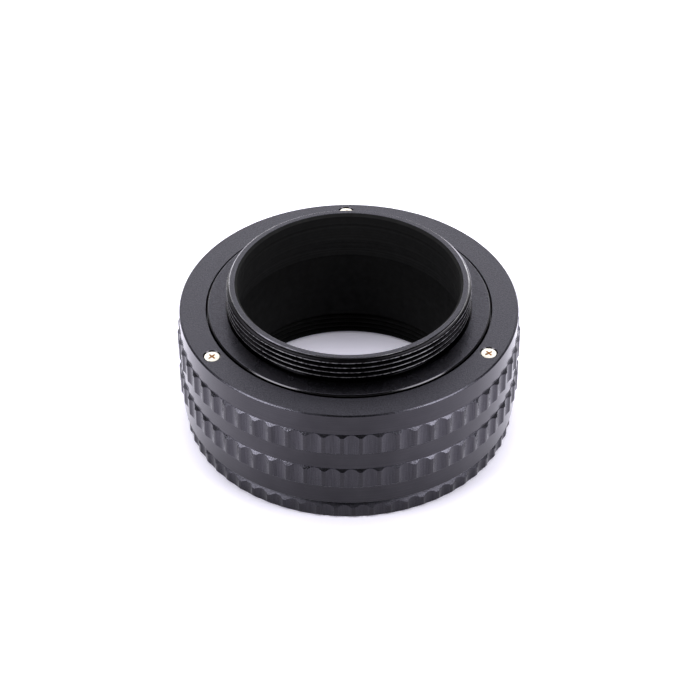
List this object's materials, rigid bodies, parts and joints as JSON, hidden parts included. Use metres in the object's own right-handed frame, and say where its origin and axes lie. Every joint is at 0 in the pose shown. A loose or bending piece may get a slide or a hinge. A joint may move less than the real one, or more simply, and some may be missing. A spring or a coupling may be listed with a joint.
{
  "type": "focusing helicoid adapter",
  "caption": "Ring-shaped focusing helicoid adapter: a fluted grip turns on a threaded camera-side barrel and drives it in or out of a keyed lens-side barrel.",
  "frame": {"origin": "centre of the lens-side face that the adapter stands on, on the optical axis", "axes": "+Z along the optical axis from the lens side to the camera side; -Y is the side that faces the viewer in the picture"},
  "size_m": [0.0594, 0.0594, 0.0284],
  "materials": {
    "black_anodised_aluminium": "bead-blasted and anodised, satin black",
    "brass": "machined",
    "bright_steel": "nickel plated, bright"
  },
  "bodies": {
    "lens_side": {"lens_barrel": "black_anodised_aluminium"},
    "camera_side": {"camera_barrel": "black_anodised_aluminium", "guide_key_1": "brass", "guide_key_2": "brass", "guide_key_3": "brass", "key_1_lower_screw": "bright_steel", "key_1_upper_screw": "bright_steel", "key_2_lower_screw": "bright_steel", "key_2_upper_screw": "bright_steel", "key_3_lower_screw": "bright_steel", "key_3_upper_screw": "bright_steel"},
    "grip": {"focus_grip": "black_anodised_aluminium", "retaining_plate": "black_anodised_aluminium", "lower_shim": "brass", "upper_shim": "brass", "stop_pin": "bright_steel", "plate_screw_1": "bright_steel", "plate_screw_2": "bright_steel", "plate_screw_3": "bright_steel"}
  },
  "joints": [
    {"name": "focus_slide", "type": "slide", "parent": "lens_side", "child": "camera_side", "axis": [0, 0, 1], "range_m": [0, 0.012]},
    {"name": "grip_turn", "type": "hinge", "parent": "camera_side", "child": "grip", "pos_m": [0, 0, 0], "axis": [0, 0, 1], "range_deg": [0, 270]}
  ],
  "couplings": [
    {"joint": "grip_turn", "follows": "focus_slide", "rad_per_m": 392.7}
  ]
}
